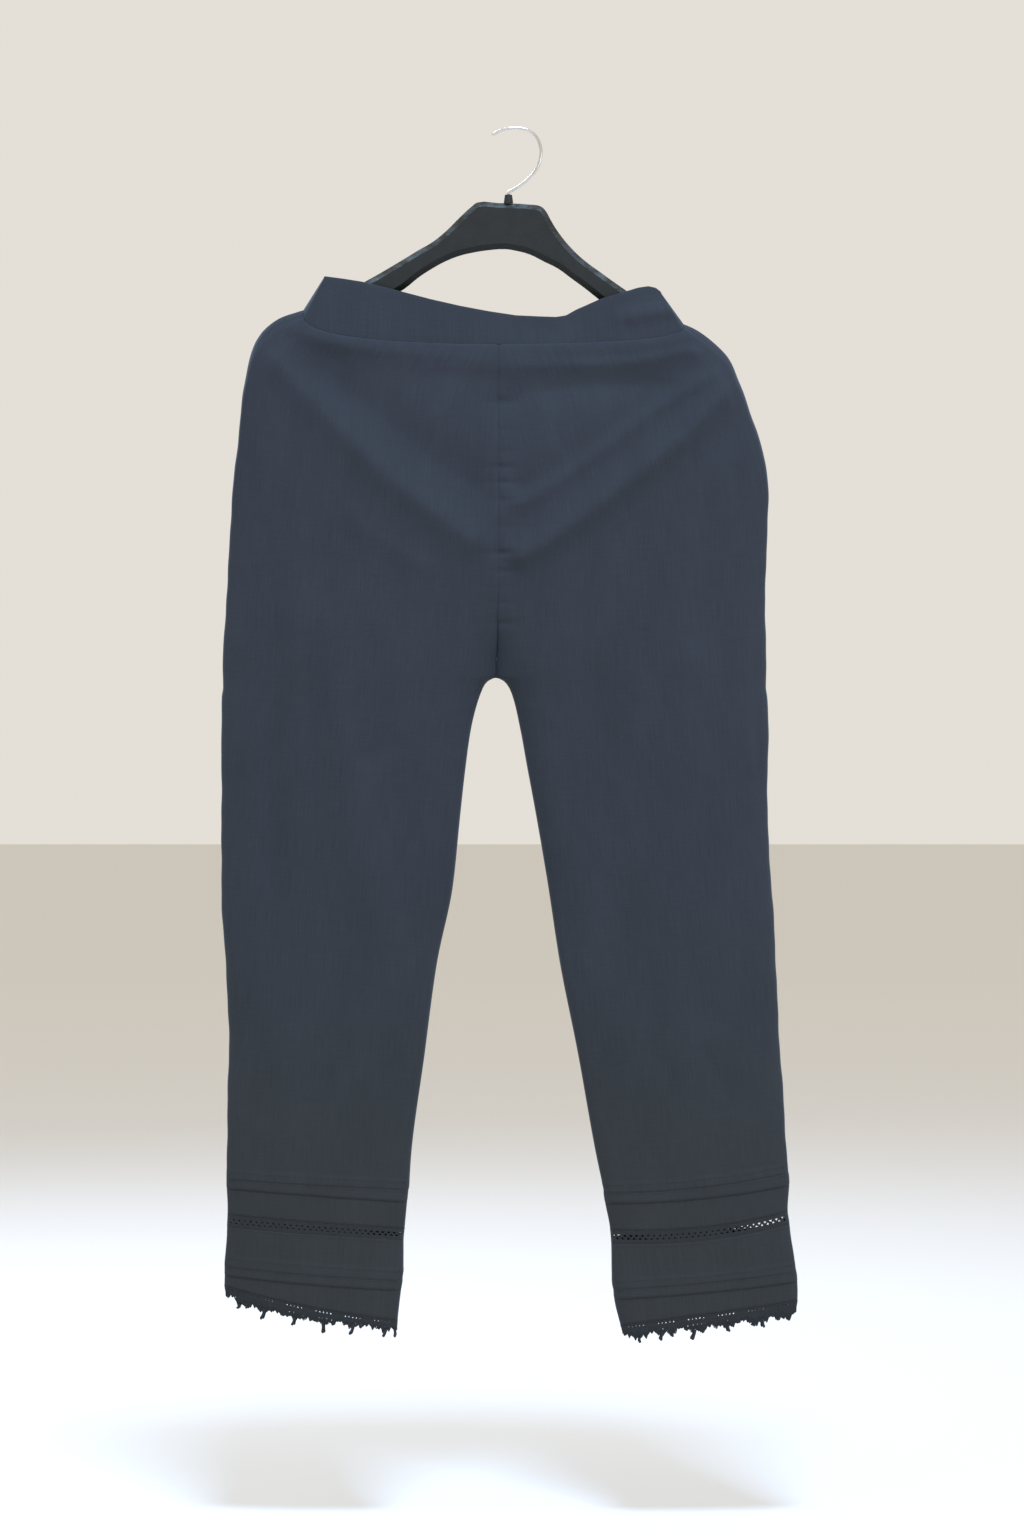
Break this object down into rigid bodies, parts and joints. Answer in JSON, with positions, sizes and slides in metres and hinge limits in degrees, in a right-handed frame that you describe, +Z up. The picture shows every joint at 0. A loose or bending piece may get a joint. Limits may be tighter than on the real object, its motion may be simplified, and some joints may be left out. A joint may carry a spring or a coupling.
{
  "type": "trousers on a hanger",
  "caption": "Navy pull-on trousers with an elastic waist, tucked hems and crochet lace edging, hung by the waist from a plastic hanger.",
  "frame": {"origin": "inside of the top of the hanger's hook, where it rests on a rail", "axes": "+Z up, +X to the right as the front is seen, +Y from the front of the trousers to the back, along the rail"},
  "size_m": [0.5387, 0.0759, 1.139],
  "materials": {
    "cloth": "matte",
    "lace": "matte",
    "plastic": "satin",
    "steel": "polished"
  },
  "bodies": {
    "root": {"hanger_body": "plastic", "hanger_collar": "plastic", "hanger_hook": "steel", "waistband_front": "cloth", "waistband_back": "cloth", "hip_front_left": "cloth", "thigh_front_left": "cloth", "shin_front_left": "cloth", "hip_front_right": "cloth", "thigh_front_right": "cloth", "shin_front_right": "cloth", "hip_back_left": "cloth", "thigh_back_left": "cloth", "shin_back_left": "cloth", "hip_back_right": "cloth", "thigh_back_right": "cloth", "shin_back_right": "cloth", "lace_inset_front_left": "lace", "lace_inset_front_right": "lace", "lace_inset_back_left": "lace", "lace_inset_back_right": "lace", "hem_band_front_left": "cloth", "hem_band_front_right": "cloth", "hem_band_back_left": "cloth", "hem_band_back_right": "cloth", "lace_edging_front_left": "lace", "lace_edging_front_right": "lace", "lace_edging_back_left": "lace", "lace_edging_back_right": "lace"}
  },
  "joints": []
}
